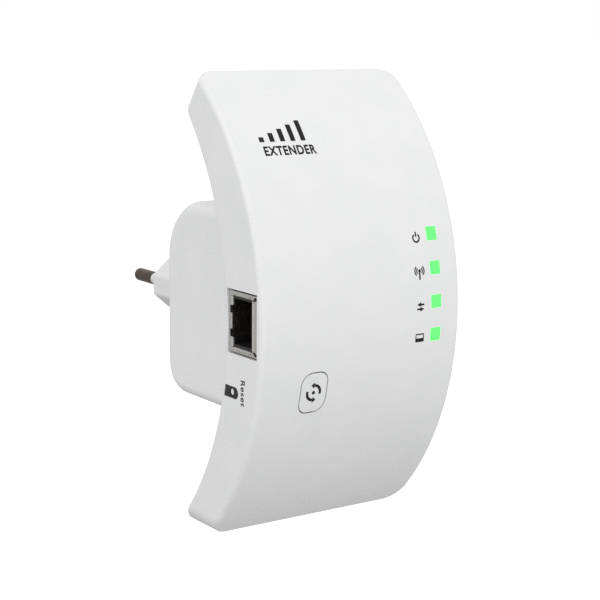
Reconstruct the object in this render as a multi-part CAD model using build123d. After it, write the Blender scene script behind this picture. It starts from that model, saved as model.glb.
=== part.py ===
from build123d import *
from math import sqrt
import os

# Plug-in wireless range extender: a curved shell with a rear power block and a two-pin plug.
# The origin is on the plug's engagement face, midway between the pins. +Z is up, the curved
# front looks towards -Y and the pins point along +Y. Heights below are measured from the middle
# of the front's arc, which lies LIFT above the pins, and every solid is lifted by that at the end.
LIFT = 0.8

# Plug
PIN_DIAMETER = 4.0
PIN_LENGTH = 19.0
PIN_SPACING = 18.6
PIN_Z = -LIFT
SLEEVE_LENGTH = 8.4
SLEEVE_DIAMETER = 3.6
NECK_DIAMETER = 2.8
PIN_TIP_RADIUS = 1.1
PIN_SHOULDER = -26.5
BOSS_LENGTH = 20.0
BOSS_WIDTH = 30.0
BOSS_HEIGHT = 15.0
BOSS_FLAT = 3.0
BOSS_SHOULDER = 5.2

# Power block behind the curved body
BLOCK_REAR = -BOSS_LENGTH
BLOCK_HALF_WIDTH = 22.0
BLOCK_HALF_HEIGHT = 28.2
BLOCK_DEPTH = 49.8
BLOCK_TOP_RADIUS = 17.4
BLOCK_BOTTOM_RADIUS = 8.7
BLOCK_EDGE_RADIUS = 3.5

# Curved body: two arcs in side view, a radial cut at the top and a level cut at the bottom
WIDTH = 64.5
TOP = 65.2
BOTTOM = -59.3
THICKNESS = 17.2
FRONT_RADIUS = 81.0
REAR_RADIUS = 83.0
CORNER_RADIUS = 5.5
FRONT_EDGE_RADIUS = 1.4
REAR_EDGE_RADIUS = 1.0
WALL = 2.0
PLATE = 1.8
PARTING_DEPTH = 1.3
LIP_GAP = 0.15

SIDE = WIDTH / 2
BODY_REAR = BLOCK_REAR - BLOCK_DEPTH
FRONT_Y = BODY_REAR - THICKNESS
FRONT_CENTRE = FRONT_Y + FRONT_RADIUS
REAR_CENTRE = BODY_REAR + REAR_RADIUS
TOP_SINE = TOP / FRONT_RADIUS
TOP_COSINE = sqrt(1 - TOP_SINE**2)

# Main board, across the curved body
BOARD_THICKNESS = 1.6
BOARD_FRONT = FRONT_Y + 10.6
BOARD_BACK = BOARD_FRONT + BOARD_THICKNESS
BOARD_HALF_WIDTH = 29.6
BOARD_HALF_HEIGHT = 31.0

# Network socket in the left side wall
JACK_BOTTOM = -6.4
JACK_TOP = 9.5
JACK_Z = (JACK_BOTTOM + JACK_TOP) / 2
JACK_FRONT = FRONT_Y + 2.75
JACK_BACK = FRONT_Y + 15.7
JACK_FACE = -SIDE + 0.35
JACK_END = JACK_FACE + 21.0
JACK_GAP = 0.5
SHIELD = 0.3
MOUTH_HALF_WIDTH = 6.8
MOUTH_FRONT = FRONT_Y + 4.9
MOUTH_BACK = FRONT_Y + 14.2
CAVITY_HALF_WIDTH = 6.0
CAVITY_FRONT = FRONT_Y + 5.3
CAVITY_DEPTH = 14.0
LATCH_HALF_WIDTH = 4.1
LATCH_BACK = JACK_BACK - SHIELD
TONGUE_FRONT = FRONT_Y + 14.4
TONGUE_HALF_WIDTH = 2.1

# Status windows, pairing button and reset plunger
WINDOW_X = 23.9
WINDOW_TOP_Z = 21.7
WINDOW_PITCH = 9.05
WINDOW_COUNT = 4
WINDOW_WIDTH = 3.3
WINDOW_HEIGHT = 3.5
LAMP_GAP = 2.2
WINDOW_ZS = [WINDOW_TOP_Z - WINDOW_PITCH * place for place in range(WINDOW_COUNT)]
BUTTON_X = -15.0
BUTTON_Z = -17.1
BUTTON_WIDTH = 8.6
BUTTON_HEIGHT = 11.3
BUTTON_LARGE_RADIUS = 3.6
BUTTON_SMALL_RADIUS = 2.8
BUTTON_GAP = 0.34
SWITCH_SIZE = 6.0
SWITCH_BODY = 3.5
SWITCH_HEIGHT = 4.3
SWITCH_CLEARANCE = 0.05
RESET_Y = FRONT_Y + 14.4
RESET_Z = -17.2
RESET_DIAMETER = 1.9
RESET_SLOT = 3.2
RESET_SLOT_FRONT = FRONT_Y + 11.0
RESET_NOSE_BACK = FRONT_Y + 17.2

# Power board, level inside the block
POWER_TOP = -21.2
POWER_BOTTOM = POWER_TOP - BOARD_THICKNESS
POWER_FRONT = BODY_REAR + 3.3
POWER_BACK = PIN_SHOULDER + 0.4
POWER_HALF_WIDTH = 19.4
TRANSFORMER_X = 7.5
TRANSFORMER_Y = -50.5
CORE_BASE = POWER_TOP + 2.6
CORE_TOP = CORE_BASE + 15.0

# Pins that join the two boards
HEADER_XS = [9.0 + 2.54 * place for place in range(4)]
HEADER_Z = -20.2
HEADER_HALF = 0.32
HEADER_HOLE_HALF = 0.4
HEADER_BEND = POWER_FRONT + 3.0

# Fasteners
COVER_SCREWS = [(x, z) for x in (-26.0, 26.0) for z in (-40.0, 40.0)]
BOARD_SCREWS = [(0.0, -27.5), (0.0, 27.5)]
SCREW_SHANK = 2.6
SCREW_HEAD = 5.0
HEAD_HEIGHT = 1.8


def block(x_low, x_high, y_low, y_high, z_low, z_high):
    """A rectangular block between two corners."""
    size = (x_high - x_low, y_high - y_low, z_high - z_low)
    middle = ((x_low + x_high) / 2, (y_low + y_high) / 2, (z_low + z_high) / 2)
    return Pos(*middle) * Box(*size)


def rod(x, z, y_low, y_high, diameter):
    """A cylinder along Y."""
    return Pos(x, (y_low + y_high) / 2, z) * Rot(90, 0, 0) * Cylinder(diameter / 2, y_high - y_low)


def post(x, y, z_low, z_high, diameter):
    """A cylinder along Z."""
    return Pos(x, y, (z_low + z_high) / 2) * Cylinder(diameter / 2, z_high - z_low)


def bar(y, z, x_low, x_high, diameter):
    """A cylinder along X."""
    return Pos((x_low + x_high) / 2, y, z) * Rot(0, 90, 0) * Cylinder(diameter / 2, x_high - x_low)


def top_corner(centre, radius, inset):
    """Where the radial top cut, moved inwards by inset, meets an arc about (centre, 0)."""
    y = FRONT_CENTRE - inset * TOP_SINE
    z = -inset * TOP_COSINE
    half = z * TOP_SINE - (y - centre) * TOP_COSINE
    along = -half + sqrt(half**2 - (y - centre) ** 2 - z**2 + radius**2)
    return (y - along * TOP_COSINE, z + along * TOP_SINE)


def bottom_corner(centre, radius, inset):
    """Where the level bottom cut, moved inwards by inset, meets an arc about (centre, 0)."""
    z = BOTTOM + inset
    return (centre - sqrt(radius**2 - z**2), z)


def curved_slab(front, rear, half_width, inset=0.0):
    """A slab between two arcs in side view, each given as (centre, radius)."""
    front_top, rear_top = top_corner(*front, inset), top_corner(*rear, inset)
    front_bottom, rear_bottom = bottom_corner(*front, inset), bottom_corner(*rear, inset)
    outline = Curve() + [
        ThreePointArc(front_bottom, (front[0] - front[1], 0), front_top),
        Line(front_top, rear_top),
        ThreePointArc(rear_top, (rear[0] - rear[1], 0), rear_bottom),
        Line(rear_bottom, front_bottom),
    ]
    return extrude(Plane.YZ * make_face(outline), amount=half_width, both=True)


def front_arc(inset=0.0):
    """The outer front surface, moved inwards by inset."""
    return (FRONT_CENTRE, FRONT_RADIUS - inset)


def rear_arc(inset=0.0):
    """The outer rear surface, moved inwards by inset."""
    return (REAR_CENTRE, REAR_RADIUS + inset)


def rounded_ends(slab, radius):
    """Rounds the four corners that a curved slab shows in front view."""
    corners = [
        edge
        for edge in slab.edges().filter_by(GeomType.LINE)
        if abs((edge @ 0).X - (edge @ 1).X) < 0.001
    ]
    return fillet(corners, radius)


def surface_edges(slab, side):
    """The rim of the slab's front (side 0) or rear (side -1) curved face."""
    curved = [face for face in slab.faces() if face.area > 0.4 * WIDTH * (TOP - BOTTOM)]
    wide = [face for face in curved if face.geom_type == GeomType.CYLINDER]
    return sorted(wide, key=lambda face: face.center().Y)[side].edges()


def body_outer():
    """The whole curved body before it is split into its two covers."""
    slab = rounded_ends(curved_slab(front_arc(), rear_arc(), SIDE), CORNER_RADIUS)
    slab = fillet(surface_edges(slab, 0), FRONT_EDGE_RADIUS)
    return fillet(surface_edges(slab, -1), REAR_EDGE_RADIUS)


def cavity(gap):
    """The space inside the covers' side walls, made smaller all round by gap."""
    space = curved_slab(front_arc(WALL), rear_arc(-1.0), SIDE - WALL - gap, WALL + gap)
    return rounded_ends(space, CORNER_RADIUS - WALL)


def button_outline(grow):
    """The pairing button's outline, with two large and two small corners, grown by grow."""
    large, small = BUTTON_LARGE_RADIUS + grow, BUTTON_SMALL_RADIUS + grow
    sheet = Rectangle(BUTTON_WIDTH + 2 * grow, BUTTON_HEIGHT + 2 * grow)
    upper_left = sheet.vertices().filter_by(lambda v: v.X < 0 < v.Y)
    sheet = fillet(upper_left, large)
    lower_right = sheet.vertices().filter_by(lambda v: v.X > 0 and v.Y < -BUTTON_HEIGHT / 2 + 0.5)
    sheet = fillet(lower_right.sort_by(Axis.X)[-1], large)
    upper_right = sheet.vertices().filter_by(lambda v: v.X > BUTTON_WIDTH / 2 - 0.5 and v.Y > 0)
    sheet = fillet(upper_right.sort_by(Axis.Y)[-1], small)
    lower_left = sheet.vertices().filter_by(lambda v: v.X < -BUTTON_WIDTH / 2 + 0.5 and v.Y < 0)
    sheet = fillet(lower_left.sort_by(Axis.Y)[0], small)
    return sheet


def button_prism(grow):
    """The button's outline carried through the front wall along Y."""
    plane = Plane(origin=(BUTTON_X, FRONT_Y, BUTTON_Z), x_dir=(1, 0, 0), z_dir=(0, -1, 0))
    return extrude(plane * button_outline(grow), amount=12, both=True)


def screw_floor(z):
    """The depth at which a cover screw's head seats, below the rear surface."""
    return REAR_CENTRE - sqrt(REAR_RADIUS**2 - z**2) - 2.5


def front_cover():
    """The curved front with its side walls, apertures, screw bosses and board posts."""
    clear = 1.0
    cover = body_outer() & curved_slab(front_arc(-clear), rear_arc(PARTING_DEPTH), SIDE + clear, -clear)
    cover -= cavity(0)
    inside = curved_slab(front_arc(WALL / 2), rear_arc(PLATE + 3.2), SIDE - WALL / 2, WALL / 2)
    for x, z in COVER_SCREWS:
        floor = screw_floor(z)
        cover += rod(x, z, FRONT_Y, floor - 2.2, 6.0) & inside
        cover -= rod(x, z, floor - 10.5, floor, SCREW_SHANK)
    for x, z in BOARD_SCREWS:
        cover += rod(x, z, FRONT_Y, BOARD_FRONT, 5.0) & inside
        cover -= rod(x, z, BOARD_FRONT - 3.6, BOARD_FRONT, SCREW_SHANK)
    for z in WINDOW_ZS:
        half_width, half_height = WINDOW_WIDTH / 2 + 0.05, WINDOW_HEIGHT / 2 + 0.05
        low, high = WINDOW_X - half_width, WINDOW_X + half_width
        cover -= block(low, high, FRONT_Y - clear, BOARD_FRONT, z - half_height, z + half_height)
    cover -= button_prism(0.0)
    jack_front = JACK_FRONT - JACK_GAP
    jack_bottom, jack_top = JACK_BOTTOM - JACK_GAP, JACK_TOP + JACK_GAP
    cover -= block(-SIDE - clear, JACK_FACE + 4, jack_front, BODY_REAR + 9, jack_bottom, jack_top)
    round_y = RESET_SLOT_FRONT + RESET_SLOT / 2
    slot_low, slot_high = RESET_Z - RESET_SLOT / 2, RESET_Z + RESET_SLOT / 2
    cover -= block(-SIDE - clear, -SIDE + WALL + clear, round_y, BODY_REAR + 9, slot_low, slot_high)
    cover -= bar(round_y, RESET_Z, -SIDE - clear, -SIDE + WALL + clear, RESET_SLOT)
    return cover


def block_profile(half_height, front, rear, top_radius, bottom_radius, half_width):
    """The power block's rounded side profile carried across its width."""
    sheet = Pos((front + rear) / 2, 0) * Rectangle(rear - front, 2 * half_height)
    upper = sheet.vertices().filter_by(lambda v: v.X > rear - 0.1 and v.Y > 0)
    sheet = fillet(upper, top_radius)
    lower = sheet.vertices().filter_by(lambda v: v.X > rear - 25 and v.Y < -half_height + 0.1)
    sheet = fillet(lower.sort_by(Axis.X)[-1], bottom_radius)
    return extrude(Plane.YZ * sheet, amount=half_width, both=True)


def block_outer():
    """The outside of the power block, with its soft edges."""
    front = BODY_REAR - 4
    shape = block_profile(
        BLOCK_HALF_HEIGHT, front, BLOCK_REAR, BLOCK_TOP_RADIUS, BLOCK_BOTTOM_RADIUS, BLOCK_HALF_WIDTH
    )
    rims = [
        edge
        for edge in shape.edges()
        if abs(abs((edge @ 0.5).X) - BLOCK_HALF_WIDTH) < 0.01 and (edge @ 0.5).Y > front + 0.1
    ]
    return fillet(rims, BLOCK_EDGE_RADIUS)


def boss_outline(grow):
    """The boat-shaped plug outline, grown by grow."""
    half_width, half_height = BOSS_WIDTH / 2 + grow, BOSS_HEIGHT / 2 + grow
    corners = [
        (half_width, -BOSS_FLAT),
        (half_width, BOSS_FLAT),
        (half_width - BOSS_SHOULDER, half_height),
        (-half_width + BOSS_SHOULDER, half_height),
        (-half_width, BOSS_FLAT),
        (-half_width, -BOSS_FLAT),
        (-half_width + BOSS_SHOULDER, -half_height),
        (half_width - BOSS_SHOULDER, -half_height),
    ]
    sheet = make_face(Polyline(*corners, close=True))
    return fillet(sheet.vertices(), 1.6)


def boss_prism(grow, y_low, y_high):
    """The plug outline carried along Y between two depths."""
    plane = Plane(origin=(0, y_high, PIN_Z), x_dir=(1, 0, 0), z_dir=(0, -1, 0))
    return extrude(plane * boss_outline(grow), amount=y_high - y_low)


def vent_slots():
    """Two rows of upright cooling slots through the rear plate, above and below the block."""
    slot_width, slot_height, pitch, per_row = 1.6, 9.0, 4.0, 9
    slots = []
    for z in (-42.0, 42.0):
        for place in range(per_row):
            x = (place - (per_row - 1) / 2) * pitch
            outline = Pos(x, z) * SlotCenterToCenter(slot_height - slot_width, slot_width, rotation=90)
            plane = Plane(origin=(0, BODY_REAR + 18, 0), x_dir=(1, 0, 0), z_dir=(0, -1, 0))
            slots.append(extrude(plane * outline, amount=20))
    return slots


def back_cover():
    """The concave rear plate and the hollow power block, moulded as one."""
    clear = 1.0
    cover = body_outer() - curved_slab(front_arc(-clear), rear_arc(PARTING_DEPTH), SIDE + clear, -clear)
    cover += curved_slab(rear_arc(PLATE), rear_arc(PARTING_DEPTH - 0.5), SIDE) & cavity(LIP_GAP)
    ahead = curved_slab(front_arc(-clear), rear_arc(PLATE), SIDE, -clear)
    cover += block_outer() - ahead
    for x, z in COVER_SCREWS:
        floor = screw_floor(z)
        cover += rod(x, z, floor - 2.1, floor + 1.0, 8.4)
        cover -= rod(x, z, floor, floor + 12, SCREW_HEAD + 0.6)
        cover -= rod(x, z, floor - 3, floor + 1, SCREW_SHANK + 0.4)
    cover -= block_profile(
        BLOCK_HALF_HEIGHT - WALL,
        BODY_REAR - 6,
        BLOCK_REAR - WALL,
        BLOCK_TOP_RADIUS - WALL,
        BLOCK_BOTTOM_RADIUS - WALL,
        BLOCK_HALF_WIDTH - WALL,
    )
    cover -= boss_prism(0.1, BLOCK_REAR - WALL - clear, BLOCK_REAR + clear)
    cover -= vent_slots()
    pocket_back = JACK_BACK + LIP_GAP
    low, high = JACK_BOTTOM - JACK_GAP, JACK_TOP + JACK_GAP
    cover -= block(-SIDE - clear, JACK_END + JACK_GAP, FRONT_Y, pocket_back, low, high)
    low, high = RESET_Z - RESET_SLOT / 2, RESET_Z + RESET_SLOT / 2
    cover -= block(-SIDE - clear, -SIDE + 4.5, FRONT_Y, RESET_NOSE_BACK + 0.3, low, high)
    for side in (-1, 1):
        inner, outer = side * (POWER_HALF_WIDTH - 1.2), side * (BLOCK_HALF_WIDTH - WALL + 0.5)
        for z_low, z_high in ((POWER_BOTTOM - 1.3, POWER_BOTTOM - 0.1), (POWER_TOP + 0.1, POWER_TOP + 1.3)):
            cover += block(min(inner, outer), max(inner, outer), -64.0, -32.0, z_low, z_high)
    return cover


def plug_base():
    """The boat-shaped plug insert, which holds the pins and is trapped behind the block's wall."""
    base = boss_prism(0.0, BLOCK_REAR - WALL - 1.0, 0.0)
    end = base.faces().sort_by(Axis.Y)[-1]
    base = fillet(end.edges(), 0.8)
    flange_rear = BLOCK_REAR - WALL
    base += block(-18.0, 18.0, flange_rear - 2.2, flange_rear, PIN_Z - 10.0, PIN_Z + 10.0)
    for side in (-1, 1):
        base += rod(side * PIN_SPACING / 2, PIN_Z, PIN_SHOULDER, flange_rear, 8.0)
    for side in (-1, 1):
        base -= rod(side * PIN_SPACING / 2, PIN_Z, PIN_SHOULDER - 1, 1, PIN_DIAMETER)
    return base


def plug_pin(side):
    """A turned contact pin: necked under its sleeve, with a rounded tip and a riveted tail."""
    x = side * PIN_SPACING / 2
    tail_end = PIN_SHOULDER - 1.2
    bare = rod(x, PIN_Z, SLEEVE_LENGTH, PIN_LENGTH, PIN_DIAMETER)
    bare = fillet(bare.edges().filter_by(GeomType.CIRCLE).sort_by(Axis.Y)[-1], PIN_TIP_RADIUS)
    pin = bare + rod(x, PIN_Z, PIN_SHOULDER, 0, PIN_DIAMETER)
    pin += rod(x, PIN_Z, 0, SLEEVE_LENGTH, NECK_DIAMETER)
    pin += rod(x, PIN_Z, PIN_SHOULDER - 0.4, PIN_SHOULDER, NECK_DIAMETER)
    return pin + rod(x, PIN_Z, tail_end, PIN_SHOULDER - 0.4, PIN_DIAMETER + 0.6)


def pin_sleeves():
    """The insulating sleeves on the first half of each pin."""
    sleeves = []
    for side in (-1, 1):
        x = side * PIN_SPACING / 2
        sleeve = rod(x, PIN_Z, 0, SLEEVE_LENGTH, SLEEVE_DIAMETER)
        sleeves.append(sleeve - rod(x, PIN_Z, -1, SLEEVE_LENGTH + 1, NECK_DIAMETER))
    return sleeves


def pin_contacts():
    """The bronze strips that carry the pins' current down to the power board."""
    strips = []
    thickness, half_width, tab = 0.4, 2.6, 1.2
    for side in (-1, 1):
        x = side * PIN_SPACING / 2
        y_low, y_high = PIN_SHOULDER - thickness, PIN_SHOULDER
        strip = block(x - half_width, x + half_width, y_low, y_high, POWER_TOP, PIN_Z + 2.8)
        strip += block(x - tab, x + tab, y_low, y_high, POWER_BOTTOM - 1.0, POWER_TOP)
        strips.append(strip - rod(x, PIN_Z, y_low - 1, y_high + 1, NECK_DIAMETER))
    return strips


def main_board():
    """The main circuit board, notched for the network socket."""
    half_width, half_height = BOARD_HALF_WIDTH, BOARD_HALF_HEIGHT
    board = block(-half_width, half_width, BOARD_FRONT, BOARD_BACK, -half_height, half_height)
    board = fillet(board.edges().filter_by(Axis.Y), 2.0)
    gap, front, back = 0.2, BOARD_FRONT - 1, BOARD_BACK + 1
    board -= block(-SIDE, JACK_END + gap, front, back, JACK_BOTTOM - gap, JACK_TOP + gap)
    for x, z in BOARD_SCREWS:
        board -= rod(x, z, front, back, SCREW_SHANK + 0.3)
    z_low, z_high = HEADER_Z - HEADER_HOLE_HALF, HEADER_Z + HEADER_HOLE_HALF
    for x in HEADER_XS:
        board -= block(x - HEADER_HOLE_HALF, x + HEADER_HOLE_HALF, front, back, z_low, z_high)
    return board


def jack_shell():
    """The folded metal shield round the network socket, with its latch tongue and board tabs."""
    shell = block(JACK_FACE, JACK_END, JACK_FRONT, JACK_BACK, JACK_BOTTOM, JACK_TOP)
    shell -= block(
        JACK_FACE + SHIELD,
        JACK_END + 1,
        JACK_FRONT + SHIELD,
        JACK_BACK - SHIELD,
        JACK_BOTTOM + SHIELD,
        JACK_TOP - SHIELD,
    )
    ahead = JACK_FACE - 1
    low, high = JACK_Z - MOUTH_HALF_WIDTH, JACK_Z + MOUTH_HALF_WIDTH
    shell -= block(ahead, JACK_FACE + 1, MOUTH_FRONT, MOUTH_BACK, low, high)
    low, high = JACK_Z - LATCH_HALF_WIDTH, JACK_Z + LATCH_HALF_WIDTH
    shell -= block(ahead, JACK_FACE + 1, MOUTH_BACK - 1, LATCH_BACK, low, high)
    low, high = JACK_Z - TONGUE_HALF_WIDTH, JACK_Z + TONGUE_HALF_WIDTH
    shell += block(JACK_FACE, JACK_FACE + SHIELD, TONGUE_FRONT, JACK_BACK, low, high)
    shell += block(JACK_FACE, JACK_FACE + 2.2, TONGUE_FRONT, TONGUE_FRONT + SHIELD, low, high)
    for z_low, z_high in ((JACK_BOTTOM - 1.5, JACK_BOTTOM), (JACK_TOP, JACK_TOP + 1.5)):
        shell += block(JACK_END - 9, JACK_END - 6, BOARD_FRONT - 0.35, BOARD_FRONT - 0.05, z_low, z_high)
    return shell


def jack_insert():
    """The black moulding inside the shield, with the plug cavity and its latch recess."""
    fit = SHIELD + 0.05
    insert = block(
        JACK_FACE + fit, JACK_END, JACK_FRONT + fit, JACK_BACK - fit, JACK_BOTTOM + fit, JACK_TOP - fit
    )
    low, high = JACK_Z - CAVITY_HALF_WIDTH, JACK_Z + CAVITY_HALF_WIDTH
    deep = JACK_FACE + CAVITY_DEPTH
    insert -= block(JACK_FACE, deep, CAVITY_FRONT, MOUTH_BACK - 0.2, low, high)
    low, high = JACK_Z - LATCH_HALF_WIDTH, JACK_Z + LATCH_HALF_WIDTH
    insert -= block(JACK_FACE, deep - 4, MOUTH_BACK - 1, JACK_BACK, low, high)
    return insert


def jack_contacts():
    """The eight sprung contact wires, rising from the mouth into the plug cavity."""
    count, pitch, wire, rise = 8, 1.02, 0.36, 1.9
    start, end = JACK_FACE + 4.0, JACK_FACE + CAVITY_DEPTH
    base = CAVITY_FRONT + 0.05
    outline = Polyline(
        (start, base), (end, base + rise), (end, base + rise + wire), (start, base + wire), close=True
    )
    contacts = []
    for place in range(count):
        z = JACK_Z + (place - (count - 1) / 2) * pitch - wire / 2
        contacts.append(Pos(0, 0, z) * extrude(make_face(outline), amount=wire))
    return contacts


def light_guide():
    """The clear guide: four fingers from the lamps to the front, joined by a curved flange."""
    layer = curved_slab(front_arc(WALL + 0.05), front_arc(WALL + 1.0), SIDE - WALL, WALL)
    edge_x, edge_z = WINDOW_WIDTH / 2 + 1.0, WINDOW_HEIGHT / 2 + 1.6
    x_low, x_high = WINDOW_X - edge_x, WINDOW_X + edge_x
    z_low, z_high = WINDOW_ZS[-1] - edge_z, WINDOW_TOP_Z + edge_z
    guide = layer & block(x_low, x_high, FRONT_Y, BOARD_FRONT, z_low, z_high)
    inside = curved_slab(front_arc(), rear_arc(), SIDE)
    x_low, x_high = WINDOW_X - WINDOW_WIDTH / 2, WINDOW_X + WINDOW_WIDTH / 2
    for z in WINDOW_ZS:
        z_low, z_high = z - WINDOW_HEIGHT / 2, z + WINDOW_HEIGHT / 2
        guide += inside & block(x_low, x_high, FRONT_Y - 1, BOARD_FRONT - LAMP_GAP, z_low, z_high)
    return guide


def status_lamps():
    """The four surface-mounted lamps behind the light guide."""
    half_width, half_height, front = 1.4, 1.75, BOARD_FRONT - LAMP_GAP + 0.3
    x_low, x_high = WINDOW_X - half_width, WINDOW_X + half_width
    return [block(x_low, x_high, front, BOARD_FRONT, z - half_height, z + half_height) for z in WINDOW_ZS]


def pairing_button():
    """The button: a curved cap flush with the front, a retaining flange and a stem."""
    cap = button_prism(-BUTTON_GAP) & curved_slab(front_arc(), front_arc(WALL + 0.5), SIDE)
    flange = button_prism(1.1) & curved_slab(front_arc(WALL + 0.15), front_arc(WALL + 1.0), SIDE)
    stem_tip = BOARD_FRONT - SWITCH_HEIGHT - SWITCH_CLEARANCE
    stem = rod(BUTTON_X, BUTTON_Z, FRONT_Y + 3.2, stem_tip, 4.0)
    return cap + flange + stem


def pairing_switch():
    """The tact switch's body on the main board."""
    half = SWITCH_SIZE / 2
    front = BOARD_FRONT - SWITCH_BODY
    body = block(BUTTON_X - half, BUTTON_X + half, front, BOARD_FRONT, BUTTON_Z - half, BUTTON_Z + half)
    body = chamfer(body.edges().filter_by(Axis.Y), 0.6)
    return body - rod(BUTTON_X, BUTTON_Z, front - 1, front + 2.4, 3.5 + 2 * SWITCH_CLEARANCE)


def pairing_plunger():
    """The tact switch's round plunger, under the button's stem."""
    front = BOARD_FRONT - SWITCH_HEIGHT
    return rod(BUTTON_X, BUTTON_Z, front, front + 2.2, 3.5)


def reset_switch():
    """The side-acting tact switch's body, with the black nose that fills the reset slot."""
    x_low, x_high = -SIDE + WALL + 0.25, -SIDE + WALL + 3.85
    body = block(x_low, x_high, BOARD_BACK, BOARD_BACK + 4.2, RESET_Z - 2.25, RESET_Z + 2.25)
    nose_x, half = -SIDE + 0.9, RESET_SLOT / 2 - 0.12
    round_y = RESET_SLOT_FRONT + RESET_SLOT / 2
    body += bar(round_y, RESET_Z, nose_x, x_low, 2 * half)
    body += block(nose_x, x_low, round_y, RESET_NOSE_BACK, RESET_Z - half, RESET_Z + half)
    hole = RESET_DIAMETER + 2 * SWITCH_CLEARANCE
    return body - bar(RESET_Y, RESET_Z, nose_x - 1, x_low + 1.7, hole)


def reset_plunger():
    """The round plunger that a pin pushes through the reset slot."""
    x_low = -SIDE + 0.4
    plunger = bar(RESET_Y, RESET_Z, x_low, -SIDE + WALL + 1.4, RESET_DIAMETER)
    return fillet(plunger.edges().sort_by(Axis.X)[0], 0.3)


def radio_shield():
    """The tinned can over the radio, open towards the board."""
    can = block(-6.0, 15.0, BOARD_FRONT - 2.6, BOARD_FRONT, -5.0, 15.0)
    can = fillet(can.faces().sort_by(Axis.Y)[0].edges(), 0.3)
    return can - block(-5.75, 14.75, BOARD_FRONT - 2.35, BOARD_FRONT + 1, -4.75, 14.75)


def radio_chip():
    """The radio processor under the can."""
    return block(-1.5, 10.5, BOARD_FRONT - 1.0, BOARD_FRONT, -1.0, 11.0)


def thermal_pad():
    """The soft pad between the processor and the can."""
    return block(-0.5, 9.5, BOARD_FRONT - 2.35, BOARD_FRONT - 1.0, 0.0, 10.0)


def gull_wing_chip(x, z, half_width, half_height, height, leads, lead_pitch):
    """A chip lying on the board's front with leads along its two upright sides."""
    front, back = BOARD_FRONT - height, BOARD_FRONT - 0.1
    chip = block(x - half_width, x + half_width, front, back, z - half_height, z + half_height)
    reach, lead = 1.0, 0.4
    x_low, x_high = x - half_width - reach, x + half_width + reach
    for place in range(leads):
        lead_z = z + (place - (leads - 1) / 2) * lead_pitch
        chip += block(x_low, x_high, BOARD_FRONT - 0.3, BOARD_FRONT, lead_z - lead / 2, lead_z + lead / 2)
    return chip


def network_transformer():
    """The isolation transformer between the socket and the processor."""
    return gull_wing_chip(-2.0, -16.0, 4.6, 4.5, 3.2, 8, 1.1)


def flash_chip():
    """The small program memory."""
    return gull_wing_chip(13.0, -13.0, 2.0, 2.5, 1.7, 4, 1.27)


def memory_chip():
    """The working memory, on the back of the main board."""
    chip = block(-4.0, 14.0, BOARD_BACK + 0.1, BOARD_BACK + 1.1, 0.0, 9.0)
    for place in range(18):
        x = 5.0 + (place - 8.5) * 0.95
        chip += block(x - 0.2, x + 0.2, BOARD_BACK, BOARD_BACK + 0.3, -0.9, 9.9)
    return chip


def crystal():
    """The clock crystal's metal can."""
    can = block(5.0, 10.0, BOARD_FRONT - 1.2, BOARD_FRONT, -28.2, -25.0)
    return fillet(can.edges().filter_by(Axis.Y), 0.8)


def board_capacitors():
    """The ceramic capacitors round the processor."""
    places = [(-8.5, 3.0), (-8.5, 7.0), (17.5, 2.0), (17.5, 6.0), (17.5, 10.0), (2.0, 18.0), (7.0, 18.0)]
    half = 0.8
    parts = []
    for x, z in places:
        parts.append(block(x - 0.5, x + 0.5, BOARD_FRONT - 0.9, BOARD_FRONT, z - half, z + half))
    return parts


def antenna(side):
    """A stamped antenna standing off the back of the main board on two legs."""
    near, far = 6.0, 27.0
    plate_y = BOARD_BACK + 4.0
    low, high = sorted((side * near, side * far))
    plate = block(low, high, plate_y, plate_y + 0.3, 24.0, 29.5)
    for place in range(4):
        x = side * (near + 3.8 + place * 4.4)
        z_low = 23.0 if place % 2 else 25.2
        plate -= block(x - 0.6, x + 0.6, plate_y - 1, plate_y + 1, z_low, z_low + 5.3)
    for start in (near, near + 5.5):
        x_low, x_high = sorted((side * start, side * (start + 1.4)))
        plate += block(x_low, x_high, BOARD_BACK, plate_y + 0.3, 24.0, 24.3)
    return plate


def header_block():
    """The plastic carrier of the pins that join the two boards."""
    x_low, x_high = HEADER_XS[0] - 1.3, HEADER_XS[-1] + 1.3
    carrier = block(x_low, x_high, BOARD_BACK, BOARD_BACK + 2.5, HEADER_Z - 1.25, HEADER_Z + 1.25)
    half = HEADER_HALF + 0.03
    z_low, z_high = HEADER_Z - half, HEADER_Z + half
    for x in HEADER_XS:
        carrier -= block(x - half, x + half, BOARD_BACK - 1, BOARD_BACK + 4, z_low, z_high)
    return carrier


def header_pins():
    """Four bent pins from the main board down into the power board."""
    pins = []
    half, z_high = HEADER_HALF, HEADER_Z + HEADER_HALF
    for x in HEADER_XS:
        pin = block(x - half, x + half, BOARD_FRONT - 1.0, HEADER_BEND, HEADER_Z - half, z_high)
        pin += block(x - half, x + half, HEADER_BEND - 2 * half, HEADER_BEND, POWER_BOTTOM - 1.0, z_high)
        pins.append(pin)
    return pins


def power_board():
    """The power supply's circuit board, held in the block's side rails."""
    board = block(-POWER_HALF_WIDTH, POWER_HALF_WIDTH, POWER_FRONT, POWER_BACK, POWER_BOTTOM, POWER_TOP)
    for side in (-1, 1):
        x = side * PIN_SPACING / 2
        y_low, y_high = PIN_SHOULDER - 0.5, PIN_SHOULDER + 0.1
        board -= block(x - 1.3, x + 1.3, y_low, y_high, POWER_BOTTOM - 1, POWER_TOP + 1)
    middle, half = HEADER_BEND - HEADER_HALF, HEADER_HOLE_HALF
    for x in HEADER_XS:
        board -= block(x - half, x + half, middle - half, middle + half, POWER_BOTTOM - 1, POWER_TOP + 1)
    return board


def transformer_block(half_width, half_depth, z_low, z_high):
    """A block centred on the transformer."""
    x_low, x_high = TRANSFORMER_X - half_width, TRANSFORMER_X + half_width
    return block(x_low, x_high, TRANSFORMER_Y - half_depth, TRANSFORMER_Y + half_depth, z_low, z_high)


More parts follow.
